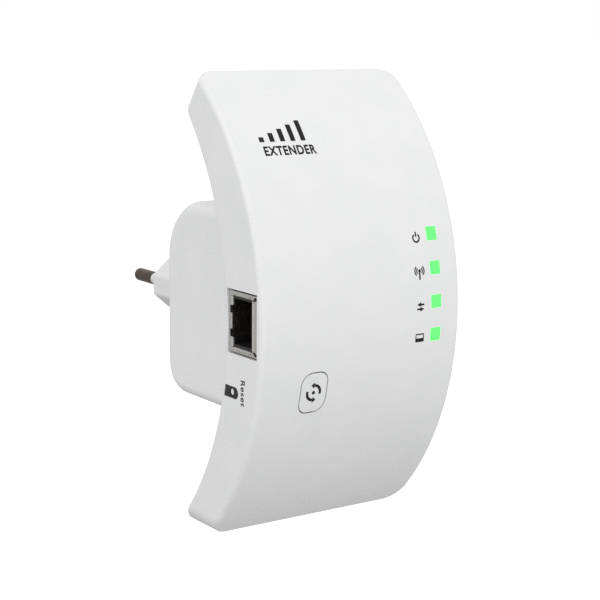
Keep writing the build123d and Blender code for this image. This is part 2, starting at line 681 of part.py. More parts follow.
def transformer_core():
    """The ferrite core: a frame with a centre leg."""
    core = transformer_block(8.5, 2.8, CORE_BASE, CORE_TOP)
    y_low, y_high = TRANSFORMER_Y - 4, TRANSFORMER_Y + 4
    for side in (-1, 1):
        x_low, x_high = sorted((TRANSFORMER_X + side * 2.6, TRANSFORMER_X + side * 6.1))
        core -= block(x_low, x_high, y_low, y_high, CORE_BASE + 2.6, CORE_TOP - 2.6)
    return core


def transformer_winding():
    """The taped winding round the core's centre leg."""
    winding = transformer_block(5.9, 6.4, CORE_BASE + 3.0, CORE_TOP - 3.0)
    winding = fillet(winding.edges().filter_by(Axis.Z), 1.6)
    return winding - transformer_block(2.7, 2.9, CORE_BASE, CORE_TOP)


def transformer_base():
    """The bobbin's foot with its pins."""
    base = transformer_block(8.5, 7.5, POWER_TOP + 0.2, CORE_BASE)
    for row in (-6.5, 6.5):
        for place in range(4):
            x = TRANSFORMER_X + (place - 1.5) * 3.8
            base += post(x, TRANSFORMER_Y + row, POWER_TOP, POWER_TOP + 0.4, 0.8)
    return base


def can_capacitor(x, y, diameter, height):
    """An upright electrolytic can with a rolled groove near its foot."""
    can = post(x, y, POWER_TOP, POWER_TOP + height, diameter)
    can = fillet(can.edges().filter_by(GeomType.CIRCLE), 0.5)
    groove = post(x, y, POWER_TOP + 1.2, POWER_TOP + 1.8, diameter + 1)
    groove -= post(x, y, POWER_TOP, POWER_TOP + 3, diameter - 0.7)
    return can - groove


def bulk_capacitors():
    """The two mains-side electrolytic capacitors."""
    return [can_capacitor(-13.5, y, 8.0, 14.0) for y in (-36.0, -45.0)]


def output_capacitors():
    """The two low-voltage electrolytic capacitors."""
    return [can_capacitor(-13.5, y, 6.3, 11.0) for y in (-54.5, -62.0)]


def rectifier():
    """The bridge rectifier."""
    body = block(-4.2, 4.2, -37.5, -31.1, POWER_TOP + 0.3, POWER_TOP + 3.6)
    body = chamfer(body.edges().filter_by(Axis.Z).sort_by(Axis.X)[0], 1.0)
    for x in (-2.5, 2.5):
        body += block(x - 0.4, x + 0.4, -38.3, -30.3, POWER_TOP, POWER_TOP + 0.8)
    return body


def fuse_resistor():
    """The fusible resistor lying across the mains input."""
    z = POWER_TOP + 2.3
    resistor = bar(-34.5, z, 8.0, 16.0, 4.0)
    resistor = fillet(resistor.edges(), 0.6)
    for x in (6.6, 17.4):
        resistor += post(x, -34.5, POWER_TOP, z, 0.7)
        resistor += bar(-34.5, z, min(x - 0.35, 12.0), max(x + 0.35, 12.0), 0.7)
    return resistor


def filter_choke():
    """The drum-core choke between the bulk capacitors."""
    y, x = -43.0, -4.5
    drum = post(x, y, POWER_TOP, POWER_TOP + 1.2, 7.0) + post(x, y, POWER_TOP + 1.2, POWER_TOP + 7.0, 5.6)
    return drum + post(x, y, POWER_TOP + 7.0, POWER_TOP + 8.2, 7.0)


def controller_chip():
    """The switching controller."""
    chip = block(-7.5, -3.5, -55.0, -50.0, POWER_TOP + 0.1, POWER_TOP + 1.6)
    for place in range(4):
        y = -52.5 + (place - 1.5) * 1.27
        chip += block(-8.5, -2.5, y - 0.2, y + 0.2, POWER_TOP, POWER_TOP + 0.3)
    return chip


def safety_capacitor():
    """The disc capacitor that bridges the two sides of the supply."""
    y, z = -40.5, POWER_TOP + 5.2
    disc = fillet((Pos(12.5, y, z) * Rot(90, 0, 0) * Cylinder(4.0, 3.4)).edges(), 1.2)
    for x in (10.0, 15.0):
        disc += post(x, y, POWER_TOP, z - 1.5, 0.7)
    return disc


def output_diode():
    """The low-voltage rectifier diode, lying near the front edge."""
    z = POWER_TOP + 2.6
    diode = bar(-62.0, z, -4.5, 4.5, 4.6)
    for x in (-6.3, 6.3):
        diode += post(x, -62.0, POWER_TOP, z, 0.9)
        diode += bar(-62.0, z, min(x - 0.45, 0.0), max(x + 0.45, 0.0), 0.9)
    return diode


def insulation_sheet():
    """The clear sheet that keeps the mains side away from the main board."""
    y = POWER_FRONT + 0.8
    return block(-19.0, 19.0, y, y + 0.25, POWER_TOP + 2.2, 22.0)


def cross_recess(x, z, top_y):
    """The cross slot in a screw head whose top faces +Y."""
    reach, width, depth = 1.3, 0.5, 1.0
    across = block(x - reach, x + reach, top_y - depth, top_y + 1, z - width / 2, z + width / 2)
    return across + block(x - width / 2, x + width / 2, top_y - depth, top_y + 1, z - reach, z + reach)


def screw(x, z, seat_y, length):
    """A pan-head screw driven along -Y, with its head seated at seat_y."""
    head = rod(x, z, seat_y, seat_y + HEAD_HEIGHT, SCREW_HEAD)
    head = fillet(head.edges().sort_by(Axis.Y)[-1], 0.8)
    shank = rod(x, z, seat_y - length, seat_y, SCREW_SHANK)
    shank = chamfer(shank.edges().sort_by(Axis.Y)[0], 0.5)
    return head + shank - cross_recess(x, z, seat_y + HEAD_HEIGHT)


def cover_screws():
    """The four screws that join the covers."""
    return [screw(x, z, screw_floor(z), 10.0) for x, z in COVER_SCREWS]


def board_screws():
    """The two screws that hold the main board on its posts."""
    return [screw(x, z, BOARD_BACK, 5.0) for x, z in BOARD_SCREWS]


def rating_label():
    """The blank label film on the block's right side."""
    face = BLOCK_HALF_WIDTH
    label = block(face, face + 0.12, -62.0, -34.0, -14.0, 10.0)
    return fillet(label.edges().filter_by(Axis.X), 1.5)


NODES = {
    "front_cover": front_cover,
    "back_cover": back_cover,
    "plug_base": plug_base,
    "left_pin": lambda: plug_pin(-1),
    "right_pin": lambda: plug_pin(1),
    "pin_sleeves": pin_sleeves,
    "pin_contacts": pin_contacts,
    "main_board": main_board,
    "jack_shell": jack_shell,
    "jack_insert": jack_insert,
    "jack_contacts": jack_contacts,
    "light_guide": light_guide,
    "status_lamps": status_lamps,
    "pairing_button": pairing_button,
    "pairing_switch": pairing_switch,
    "pairing_plunger": pairing_plunger,
    "reset_switch": reset_switch,
    "reset_plunger": reset_plunger,
    "radio_shield": radio_shield,
    "radio_chip": radio_chip,
    "thermal_pad": thermal_pad,
    "network_transformer": network_transformer,
    "flash_chip": flash_chip,
    "memory_chip": memory_chip,
    "crystal": crystal,
    "board_capacitors": board_capacitors,
    "left_antenna": lambda: antenna(-1),
    "right_antenna": lambda: antenna(1),
    "header_block": header_block,
    "header_pins": header_pins,
    "power_board": power_board,
    "transformer_core": transformer_core,
    "transformer_winding": transformer_winding,
    "transformer_base": transformer_base,
    "bulk_capacitors": bulk_capacitors,
    "output_capacitors": output_capacitors,
    "rectifier": rectifier,
    "fuse_resistor": fuse_resistor,
    "filter_choke": filter_choke,
    "controller_chip": controller_chip,
    "safety_capacitor": safety_capacitor,
    "output_diode": output_diode,
    "insulation_sheet": insulation_sheet,
    "cover_screws": cover_screws,
    "board_screws": board_screws,
    "rating_label": rating_label,
}

os.makedirs("parts", exist_ok=True)
for name, make in NODES.items():
    made = make()
    solids = made if isinstance(made, list) else [made]
    lifted = [Pos(0, 0, LIFT) * solid for solid in solids]
    export_step(lifted[0] if len(lifted) == 1 else Compound(children=lifted), f"parts/{name}.step")
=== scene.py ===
import math

import bmesh
import bpy
from mathutils import Matrix, Vector
from mathutils.geometry import tessellate_polygon


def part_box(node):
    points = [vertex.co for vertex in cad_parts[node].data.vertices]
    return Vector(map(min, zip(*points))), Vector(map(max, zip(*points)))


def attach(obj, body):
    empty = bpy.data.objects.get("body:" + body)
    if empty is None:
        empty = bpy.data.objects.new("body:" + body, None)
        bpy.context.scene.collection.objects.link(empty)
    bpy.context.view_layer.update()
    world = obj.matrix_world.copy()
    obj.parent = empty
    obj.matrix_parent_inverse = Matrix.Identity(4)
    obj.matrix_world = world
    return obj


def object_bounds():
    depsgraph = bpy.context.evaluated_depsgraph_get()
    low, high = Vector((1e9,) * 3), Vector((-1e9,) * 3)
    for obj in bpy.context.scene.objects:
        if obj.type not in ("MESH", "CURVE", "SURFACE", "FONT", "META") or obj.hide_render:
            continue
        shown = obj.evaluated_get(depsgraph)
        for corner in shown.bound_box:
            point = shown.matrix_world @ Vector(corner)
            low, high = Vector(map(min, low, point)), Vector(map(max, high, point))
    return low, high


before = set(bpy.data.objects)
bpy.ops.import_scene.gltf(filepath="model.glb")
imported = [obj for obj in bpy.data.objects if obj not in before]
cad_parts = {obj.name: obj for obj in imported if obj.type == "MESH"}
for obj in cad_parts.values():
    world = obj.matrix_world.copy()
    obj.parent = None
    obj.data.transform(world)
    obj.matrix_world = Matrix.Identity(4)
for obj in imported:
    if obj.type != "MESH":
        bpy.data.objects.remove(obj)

cad_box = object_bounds()

# Front cover
# The curved front and its side walls, injection-moulded in white ABS and spark-finished, which
# gives a satin sheen. It is laid face down first, and everything else is built into it.
mm = 0.001
abs_white = "#EFEFEF"
abs_shade = "#E6E7E8"


def linear(code):
    """The linear colour of an sRGB hex value."""
    channels = [int(code[place:place + 2], 16) / 255 for place in (1, 3, 5)]
    return (*[c / 12.92 if c <= 0.04045 else ((c + 0.055) / 1.055) ** 2.4 for c in channels], 1.0)


def add(tree, kind, settings, links=None):
    """Adds one shader node, with its properties or input values and the outputs its inputs take."""
    node = tree.nodes.new("ShaderNode" + kind)
    for key, value in settings.items():
        if isinstance(key, str) and hasattr(node, key):
            setattr(node, key, value)
        else:
            node.inputs[key].default_value = value
    for key, source in (links or {}).items():
        tree.links.new(source, node.inputs[key])
    return node


def surface(name, **settings):
    """A new material with its shader, whose uniform values are set on its own sockets."""
    material = bpy.data.materials.new(name)
    material.use_nodes = True
    tree = material.node_tree
    tree.nodes.clear()
    inputs = {key.replace("_", " "): value for key, value in settings.items()}
    shader = add(tree, "BsdfPrincipled", inputs)
    add(tree, "OutputMaterial", {}, {"Surface": shader.outputs["BSDF"]})
    place = add(tree, "TexCoord", {}).outputs["Object"]
    return material, tree, shader, place


def paint(material, *nodes):
    """Gives CAD nodes their finish."""
    for node in nodes:
        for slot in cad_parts[node].material_slots:
            slot.material = material


def moulded(name, colour, shade, roughness, grain, depth, ior=1.53):
    """Moulded plastic: slow flow patches between two close tones, and the tool's fine grain."""
    material, tree, shader, place = surface(name, IOR=ior)
    flow_size = 9.0 * mm
    flow = add(tree, "TexNoise", {"Scale": 1 / flow_size, "Detail": 2.0}, {"Vector": place})
    tone = add(
        tree, "Mix", {"data_type": "RGBA", 6: linear(colour), 7: linear(shade)},
        {"Factor": flow.outputs["Fac"]},
    )
    tree.links.new(tone.outputs[2], shader.inputs["Base Color"])
    pits = add(tree, "TexNoise", {"Scale": 1 / grain, "Detail": 3.0}, {"Vector": place})
    gloss = add(
        tree,
        "MapRange",
        {"From Min": 0.3, "From Max": 0.7, "To Min": roughness - 0.04, "To Max": roughness + 0.05},
        {"Value": pits.outputs["Fac"]},
    )
    tree.links.new(gloss.outputs["Result"], shader.inputs["Roughness"])
    bump = add(tree, "Bump", {"Strength": 1.0, "Distance": depth}, {"Height": pits.outputs["Fac"]})
    tree.links.new(bump.outputs["Normal"], shader.inputs["Normal"])
    return material


# Real spark grain is about 0.05 mm wide; 0.35 mm is the finest that shows.
satin_abs = moulded("satin_moulded_abs", abs_white, abs_shade, 0.27, 0.35 * mm, 0.0025 * mm)
paint(satin_abs, "front_cover", "back_cover", "pairing_button")

# Front printing
# Pad-printed in black before assembly: a rising-bars mark over one plain word, four lamp symbols
# beside their windows, and the word at the reset slot. The ink is a closed film on the wall.
front_radius = 81.0 * mm
film = 0.015 * mm
cover_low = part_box("front_cover")[0]
front_centre = cover_low.y + front_radius
front_middle = 0.8 * mm
printing_ink = moulded("pad_printed_ink", "#070707", "#0E0E0F", 0.6, 0.12 * mm, 0.001 * mm, 1.4)


def on_front(across, up, lift):
    """A point of the artwork on the curved front, its height measured from the arc's middle."""
    bulge = math.sqrt(front_radius**2 - up**2)
    return Vector((across, front_centre - bulge - lift, front_middle + up))


def patch(art, outline):
    """Adds one filled outline, in millimetres, to flat artwork."""
    art.faces.new([art.verts.new((across * mm, up * mm, 0.0)) for across, up in outline])


def stroke(art, points, width):
    """Adds a ribbon of even width along points to flat artwork."""
    left, right = [], []
    for place, (across, up) in enumerate(points):
        before, after = points[max(place - 1, 0)], points[min(place + 1, len(points) - 1)]
        run = Vector((after[0] - before[0], after[1] - before[1])).normalized() * width / 2
        left.append((across - run.y, up + run.x))
        right.append((across + run.y, up - run.x))
    patch(art, left + right[::-1])


def arc(across, up, radius, start, end, steps=16):
    """Points along an arc, from one angle in degrees to another."""
    angles = [math.radians(start + (end - start) * step / steps) for step in range(steps + 1)]
    return [(across + radius * math.cos(angle), up + radius * math.sin(angle)) for angle in angles]


def lettering(word, width, height, boldness):
    """Flat artwork of a word, centred on the origin and fitted to its printed size."""
    text = bpy.data.curves.new(word, "FONT")
    text.body = word
    text.offset = boldness
    text.space_character = 1.12
    holder = bpy.data.objects.new(word, text)
    flat = bpy.data.meshes.new_from_object(holder)
    bpy.data.objects.remove(holder)
    art = bmesh.new()
    art.from_mesh(flat)
    bmesh.ops.remove_doubles(art, verts=art.verts, dist=1e-5)
    low = [min(vert.co[axis] for vert in art.verts) for axis in (0, 1)]
    high = [max(vert.co[axis] for vert in art.verts) for axis in (0, 1)]
    for vert in art.verts:
        vert.co.x = (vert.co.x - (low[0] + high[0]) / 2) * width / (high[0] - low[0]) * mm
        vert.co.y = (vert.co.y - (low[1] + high[1]) / 2) * height / (high[1] - low[1]) * mm
    return art


def printed(name, art, place, body="housing"):
    """Lays flat artwork on a surface as a closed film of ink, and rides it."""
    cut = 0.4 * mm
    top = max(vert.co.y for vert in art.verts)
    level = min(vert.co.y for vert in art.verts) + cut
    while level < top:
        whole = art.verts[:] + art.edges[:] + art.faces[:]
        bmesh.ops.bisect_plane(art, geom=whole, plane_co=(0, level, 0), plane_no=(0, 1, 0))
        level += cut
    bmesh.ops.triangulate(art, faces=art.faces)
    raised = bmesh.ops.extrude_face_region(art, geom=art.faces[:])["geom"]
    tops = {item for item in raised if isinstance(item, bmesh.types.BMVert)}
    for vert in art.verts:
        vert.co = place(vert.co.x, vert.co.y, film if vert in tops else -film)
    bmesh.ops.recalc_face_normals(art, faces=art.faces)
    mesh = bpy.data.meshes.new(name)
    art.to_mesh(mesh)
    art.free()
    mesh.materials.append(printing_ink)
    piece = bpy.data.objects.new(name, mesh)
    bpy.context.collection.objects.link(piece)
    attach(piece, body)


def centred(across, up, surface_point=on_front):
    """Places artwork round a middle point, given in millimetres."""
    return lambda x, y, lift: surface_point(across * mm + x, up * mm + y, lift)


bar_width = 1.5
bar_pitch = 3.2
bars = bmesh.new()
for place in range(5):
    left = (place - 2) * bar_pitch - bar_width / 2
    right, top = left + bar_width, 1.2 + place * 0.95
    patch(bars, [(left, 0.0), (right, 0.0), (right, top), (left, top)])
printed("range_mark", bars, centred(-16.1, 47.0))
printed("front_word", lettering("EXTENDER", 16.1, 2.3, 0.034), centred(-14.8, 44.8))

symbol_x = 18.55
power_symbol = bmesh.new()
stroke(power_symbol, arc(0, 0, 1.05, 125, 415, 28), 0.48)
stroke(power_symbol, [(0, 0.3), (0, 1.6)], 0.48)
printed("power_symbol", power_symbol, centred(symbol_x, 20.8))
radio_symbol = bmesh.new()
stroke(radio_symbol, [(0, -1.7), (0, 0.2)], 0.52)
patch(radio_symbol, arc(0, 0.65, 0.45, 0, 345, 15))
for side in (0, 180):
    for reach in (0.95, 1.55):
        stroke(radio_symbol, arc(0, 0.65, reach, side - 48, side + 48, 10), 0.38)
printed("radio_symbol", radio_symbol, centred(symbol_x, 11.5))
link_symbol = bmesh.new()
for way in (-1, 1):
    arrow = [(1.2, 0.25), (1.2, 0.75), (0.1, 0.75), (0.1, 1.2), (-1.2, 0.5), (0.1, -0.1), (0.1, 0.25)]
    patch(link_symbol, [(across * way, (up + 0.1) * way) for across, up in arrow])
printed("link_symbol", link_symbol, centred(symbol_x, 2.5))
device_symbol = bmesh.new()
patch(device_symbol, [(-1.45, -1.15), (1.45, -1.15), (1.45, -0.1), (-1.45, -0.1)])
stroke(device_symbol, [(-1.27, -0.1), (-1.27, 1.0), (1.27, 1.0), (1.27, -0.1)], 0.4)
printed("device_symbol", device_symbol, centred(symbol_x, -6.0))


def on_left_side(across, up, lift):
    """A point of artwork that reads downwards on the left side wall, its tops to the front."""
    return Vector((cover_low.x - lift, cover_low.y - up, front_middle - across))


printed("reset_word", lettering("Reset", 6.9, 2.1, 0.018), centred(16.6, -8.75, on_left_side))

# Pairing button's symbol
# The same ink, printed on the button's cap: two bent arrows that chase each other round a dot.
button_low, button_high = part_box("pairing_button")
button_x = (button_low.x + button_high.x) / 2 / mm
button_z = ((button_low.z + button_high.z) / 2 - front_middle) / mm
ring_radius = 2.0
pairing_symbol = bmesh.new()
patch(pairing_symbol, arc(0, 0, 0.5, 0, 345, 15))
for start in (-15, 165):
    end = math.radians(start + 100)
    stroke(pairing_symbol, arc(0, 0, ring_radius, start, start + 100), 0.75)
    tip = [(ring_radius + out, along) for out, along in ((-0.85, 0.05), (0.85, 0.05), (0.0, 1.15))]
    turned = [
        (out * math.cos(end) - along * math.sin(end), out * math.sin(end) + along * math.cos(end))
        for out, along in tip
    ]
    patch(pairing_symbol, turned)
printed("pairing_symbol", pairing_symbol, centred(button_x, button_z), "button")

# Light guide
# One clear polycarbonate moulding whose four fingers carry the lamps' green light to the front.
# Polished in the tool, it is evenly green at the windows and a little paler between the fingers.
lit_green = "#52F864"
lit_core = "#7BFF86"
window_pitch = 9.05 * mm
lamp_half = 1.75 * mm
lamps_low, lamps_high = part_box("status_lamps")
lamp_z = lamps_high.z - lamp_half
lamp_x = (lamps_low.x + lamps_high.x) / 2

lit_guide, tree, shader, place = surface("lit_polycarbonate", Roughness=0.12, IOR=1.58)
shader.inputs["Emission Strength"].default_value = 0.75
axes = add(tree, "SeparateXYZ", {}, {"Vector": place})
across = add(tree, "Math", {"operation": "SUBTRACT", 1: lamp_x}, {0: axes.outputs["X"]})
rise = add(tree, "Math", {"operation": "SUBTRACT", 1: lamp_z - 3.5 * window_pitch}, {0: axes.outputs["Z"]})
half_pitch = window_pitch / 2
cell = add(tree, "Math", {"operation": "WRAP", 1: half_pitch, 2: -half_pitch}, {0: rise.outputs[0]})
spot = add(tree, "CombineXYZ", {}, {"X": across.outputs[0], "Y": cell.outputs[0]})
reach = add(tree, "VectorMath", {"operation": "LENGTH"}, {0: spot.outputs[0]})
glow = add(
    tree, "MapRange", {"From Min": 0.3 * mm, "From Max": 2.2 * mm, "To Min": 1.0, "To Max": 0.0},
    {"Value": reach.outputs["Value"]},
)
tone = add(
    tree, "Mix", {"data_type": "RGBA", 6: linear(lit_green), 7: linear(lit_core)},
    {"Factor": glow.outputs["Result"]},
)
tree.links.new(tone.outputs[2], shader.inputs["Base Color"])
tree.links.new(tone.outputs[2], shader.inputs["Emission Color"])
paint(lit_guide, "light_guide")

# Main board and power board
# Glass-epoxy laminate under green solder mask. Copper tracks show through as lighter bands, and
# the glass weave gives the surface its faint grid.
mask_green = "#174F36"
track_green = "#2C7650"
weave_pitch = 0.5 * mm
track_pitch = 1.6 * mm
laminate, tree, shader, place = surface("masked_glass_epoxy", Roughness=0.32, IOR=1.5)
tracks = add(
    tree,
    "TexBrick",
    {
        "Scale": 1.0,
        "Color1": (0.0, 0.0, 0.0, 1.0),
        "Color2": (0.25, 0.25, 0.25, 1.0),
        "Mortar": (1.0, 1.0, 1.0, 1.0),
        "Mortar Size": 0.25 * mm,
        "Brick Width": 5 * track_pitch,
        "Row Height": track_pitch,
    },
)
axes = add(tree, "SeparateXYZ", {}, {"Vector": place})
depth = add(tree, "Math", {"operation": "ADD"}, {0: axes.outputs["Y"], 1: axes.outputs["Z"]})
flat = add(tree, "CombineXYZ", {}, {"X": axes.outputs["X"], "Y": depth.outputs[0]})
tree.links.new(flat.outputs[0], tracks.inputs["Vector"])
tone = add(
    tree, "Mix", {"data_type": "RGBA", 6: linear(mask_green), 7: linear(track_green)},
    {"Factor": tracks.outputs["Color"]},
)
tree.links.new(tone.outputs[2], shader.inputs["Base Color"])
weave = add(tree, "TexVoronoi", {"Scale": 1 / weave_pitch, "Randomness": 0.2}, {"Vector": place})
bump = add(tree, "Bump", {"Distance": 0.01 * mm}, {"Height": weave.outputs["Distance"]})
tree.links.new(bump.outputs["Normal"], shader.inputs["Normal"])
paint(laminate, "main_board", "power_board")

# Chips, transformer body and diodes
# Transfer-moulded epoxy with a matt, slightly pitted black surface from its silica filler.
filled_epoxy = moulded("silica_filled_epoxy", "#1B1B1D", "#242426", 0.55, 0.2 * mm, 0.006 * mm)
paint(
    filled_epoxy, "radio_chip", "network_transformer", "flash_chip", "memory_chip", "rectifier",
    "controller_chip", "output_diode",
)

# Board capacitors and status lamps
# Multilayer ceramic fired to a fine biscuit-brown body, and lamp packages in white filled resin.
fired_ceramic = moulded("fired_ceramic", "#8A6A4B", "#77593D", 0.45, 0.15 * mm, 0.003 * mm)
paint(fired_ceramic, "board_capacitors")
lamp_resin = moulded("white_lamp_resin", "#F2F0E6", "#E4E1D4", 0.4, 0.2 * mm, 0.002 * mm)
paint(lamp_resin, "status_lamps")

# Thermal pad
# Calendered silicone filled with alumina: soft, grey-blue and quite dull.
pad_silicone = moulded("filled_silicone", "#7F93A6", "#8FA2B3", 0.7, 0.25 * mm, 0.01 * mm, 1.41)
paint(pad_silicone, "thermal_pad")


def plated(name, colour, tarnish, roughness, line, axis):
    """Plated metal: drawing lines along one axis and a slow tarnish between two tones."""
    material, tree, shader, place = surface(name, Metallic=1.0)
    stretch = [1.0, 1.0, 1.0]
    stretch[axis] = 0.04
    long = add(tree, "Mapping", {"Scale": stretch}, {"Vector": place})
    lines = add(tree, "TexNoise", {"Scale": 1 / line, "Detail": 2.0}, {"Vector": long.outputs["Vector"]})
    patches = add(tree, "TexNoise", {"Scale": 1 / (2.5 * mm), "Detail": 3.0}, {"Vector": place})
    tone = add(
        tree, "Mix", {"data_type": "RGBA", 6: linear(colour), 7: linear(tarnish)},
        {"Factor": patches.outputs["Fac"]},
    )
    tree.links.new(tone.outputs[2], shader.inputs["Base Color"])
    gloss = add(
        tree,
        "MapRange",
        {"From Min": 0.3, "From Max": 0.7, "To Min": roughness - 0.07, "To Max": roughness + 0.09},
        {"Value": lines.outputs["Fac"]},
    )
    tree.links.new(gloss.outputs["Result"], shader.inputs["Roughness"])
    bump = add(tree, "Bump", {"Distance": 0.004 * mm}, {"Height": lines.outputs["Fac"]})
    tree.links.new(bump.outputs["Normal"], shader.inputs["Normal"])
    return material


# Network socket
# A black glass-filled nylon insert with gold-plated spring wires, pushed into a shield that is
# folded from tinned steel sheet. Rolling leaves fine lines along the sheet.
black_nylon = moulded("glass_filled_nylon", "#0C0C0D", "#161617", 0.5, 0.25 * mm, 0.004 * mm)
paint(
    black_nylon, "jack_insert", "pairing_switch", "reset_switch", "header_block", "transformer_base"
)
gold_plate = plated("gold_on_bronze", "#E2B65A", "#C99A42", 0.25, 0.1 * mm, 0)
paint(gold_plate, "jack_contacts")
tinned_sheet = plated("tinned_steel_sheet", "#D5D3D0", "#B9B6B2", 0.3, 0.12 * mm, 2)
paint(
    tinned_sheet, "jack_shell", "radio_shield", "crystal", "left_antenna", "right_antenna", "header_pins"
)

# Socket lips
# The shield's sheet is folded into the mouth on each side, which stiffens it and guides the plug.
# The folds stop short of the corners and of the latch slot, so dark notches are left between them.
shell_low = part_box("jack_shell")[0]
insert_low, insert_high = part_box("jack_insert")
socket_z = (insert_low.z + insert_high.z) / 2
mouth_half = 6.8 * mm
mouth_front = shell_low.y + 2.15 * mm
mouth_back = shell_low.y + 11.45 * mm
latch_half = 4.1 * mm
latch_gap = 0.2 * mm
end_gap = 0.3 * mm
corner_gap = 0.7 * mm
sheet_gauge = 0.18 * mm
lips = bmesh.new()


def lip(start, end, inward):
    """One folded strip from start to end, sloping into the mouth; both are (Y, Z)."""
    corners = []
    slope = [(-0.7, 0.0), (-0.5, 0.2), (-0.2, 0.2), (0.05, 0.0), (0.16, -0.45)]
    for y, z in (start, end):
        for gauge in (0.0, sheet_gauge):
            for out, raise_by in slope:
                x = shell_low.x - raise_by * mm + gauge
                shift = out * mm
                corners.append(lips.verts.new((x, y + inward[0] * shift, z + inward[1] * shift)))
    count = len(slope)
    for place in range(count - 1):
        for first, second in ((0, 2 * count), (3 * count, count)):
            run = (first + place, first + place + 1, second + place + 1, second + place)
            lips.faces.new([corners[index] for index in run])
    for base in (0, 2 * count):
        lips.faces.new(corners[base:base + count] + corners[base + count:base + 2 * count][::-1])
    for place in (0, count - 1):
        lips.faces.new([corners[base + place] for base in (0, count, 3 * count, 2 * count)])


low_z, high_z = socket_z - mouth_half, socket_z + mouth_half
latch_edge = latch_half + latch_gap
lip((mouth_front, low_z + corner_gap), (mouth_front, high_z - corner_gap), (1, 0))
lip((mouth_front + corner_gap, low_z), (mouth_back - corner_gap, low_z), (0, 1))
lip((mouth_front + corner_gap, high_z), (mouth_back - corner_gap, high_z), (0, -1))
lip((mouth_back, low_z + end_gap), (mouth_back, socket_z - latch_edge), (-1, 0))
lip((mouth_back, socket_z + latch_edge), (mouth_back, high_z - end_gap), (-1, 0))
bmesh.ops.recalc_face_normals(lips, faces=lips.faces)
lip_mesh = bpy.data.meshes.new("socket_lips")
lips.to_mesh(lip_mesh)
lips.free()
lip_mesh.materials.append(tinned_sheet)
socket_lips = bpy.data.objects.new("socket_lips", lip_mesh)
bpy.context.collection.objects.link(socket_lips)
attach(socket_lips, "housing")

# Corner reliefs
# Where the folded sheet is slit at the two front corners, the black nylon shows through it. Each slit
# is drawn as a thin black ink patch on the shield's face, not cut.


def on_shield(across, up, lift):
    """A point on the shield's face, measured from its front lower corner."""
    return Vector((shell_low.x - lift, shell_low.y + across, insert_low.z + up))


insert_height = (insert_high.z - insert_low.z) / mm
slit = [(0.1, 0.0), (1.0, 0.0), (1.75, 0.9), (1.5, 1.25), (0.1, 0.7)]
reliefs = bmesh.new()
for end, way in ((0.0, 1), (insert_height, -1)):
    patch(reliefs, [(across, end + way * rise) for across, rise in slit])
printed("corner_reliefs", reliefs, on_shield)

# Reset bezel and painted slot shade
# The switch's black nylon nose ends in a raised rim round the white pip. The same black piece runs on
# to fill the slot down to the seam of the covers; that part is painted shade for the slot's recess.
# Its rear edge leans with the covers.
pip_low, pip_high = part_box("reset_plunger")
pip_y, pip_z = (pip_low.y + pip_high.y) / 2 / mm, (pip_low.z + pip_high.z) / 2 / mm
bezel_half = 1.48
bezel_hole = 1.05
bezel_sunk = 0.15 * mm
bezel_foot = 0.95 * mm
rounded_end = pip_y - 1.8
# The outline runs past the nose to the cover seam: black nylon standing in for the slot's shade.
rim_and_slot_shade_outline = arc(rounded_end, pip_z, bezel_half, 90, 270) + [
    (pip_y + 3.5, pip_z - bezel_half),
    (pip_y + 2.9, pip_z + bezel_half),
]
loops = [
    [Vector((along, height, 0.0)) * mm for along, height in loop]
    for loop in (rim_and_slot_shade_outline, arc(pip_y, pip_z, bezel_hole, 0, 345, 23))
]
bezel = bmesh.new()
foot_x = cover_low.x + bezel_foot
corners = [bezel.verts.new((foot_x, point.x, point.y)) for loop in loops for point in loop]
for triangle in tessellate_polygon(loops):
    bezel.faces.new([corners[index] for index in triangle])
for item in bmesh.ops.extrude_face_region(bezel, geom=bezel.faces[:])["geom"]:
    if isinstance(item, bmesh.types.BMVert):
        item.co.x = cover_low.x + bezel_sunk
bmesh.ops.recalc_face_normals(bezel, faces=bezel.faces)
rim_and_slot_shade_mesh = bpy.data.meshes.new("reset_rim_and_slot_shade")
bezel.to_mesh(rim_and_slot_shade_mesh)
bezel.free()
rim_and_slot_shade_mesh.materials.append(black_nylon)
reset_rim_and_slot_shade = bpy.data.objects.new("reset_rim_and_slot_shade", rim_and_slot_shade_mesh)
bpy.context.collection.objects.link(reset_rim_and_slot_shade)
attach(reset_rim_and_slot_shade, "housing")

# Switch plungers
# Acetal turned out of the tool nearly white, waxy and smooth.
plain_acetal = moulded("moulded_acetal", "#F4F3EF", "#E9E8E3", 0.3, 0.3 * mm, 0.001 * mm, 1.48)
paint(plain_acetal, "pairing_plunger", "reset_plunger")

# Supply transformer and choke
# Pressed and sintered ferrite, dull charcoal, under turns of yellow polyester tape.
ferrite = moulded("sintered_ferrite", "#37373A", "#2A2A2D", 0.6, 0.3 * mm, 0.01 * mm)
paint(ferrite, "transformer_core", "filter_choke")
tape, tree, shader, place = surface("polyester_tape", IOR=1.6, Roughness=0.3)
axes = add(tree, "SeparateXYZ", {}, {"Vector": place})
tape_width = 3.0 * mm
turns = add(tree, "Math", {"operation": "PINGPONG", 1: tape_width}, {0: axes.outputs["Z"]})
edge = add(
    tree, "MapRange", {"From Min": 0.0, "From Max": 0.2 * mm, "To Min": 1.0, "To Max": 0.0},
    {"Value": turns.outputs[0]},
)
tone = add(
    tree, "Mix", {"data_type": "RGBA", 6: linear("#E8C63A"), 7: linear("#B8962A")},
    {"Factor": edge.outputs["Result"]},
)
tree.links.new(tone.outputs[2], shader.inputs["Base Color"])
bump = add(tree, "Bump", {"Distance": 0.03 * mm}, {"Height": edge.outputs["Result"]})
tree.links.new(bump.outputs["Normal"], shader.inputs["Normal"])
paint(tape, "transformer_winding")

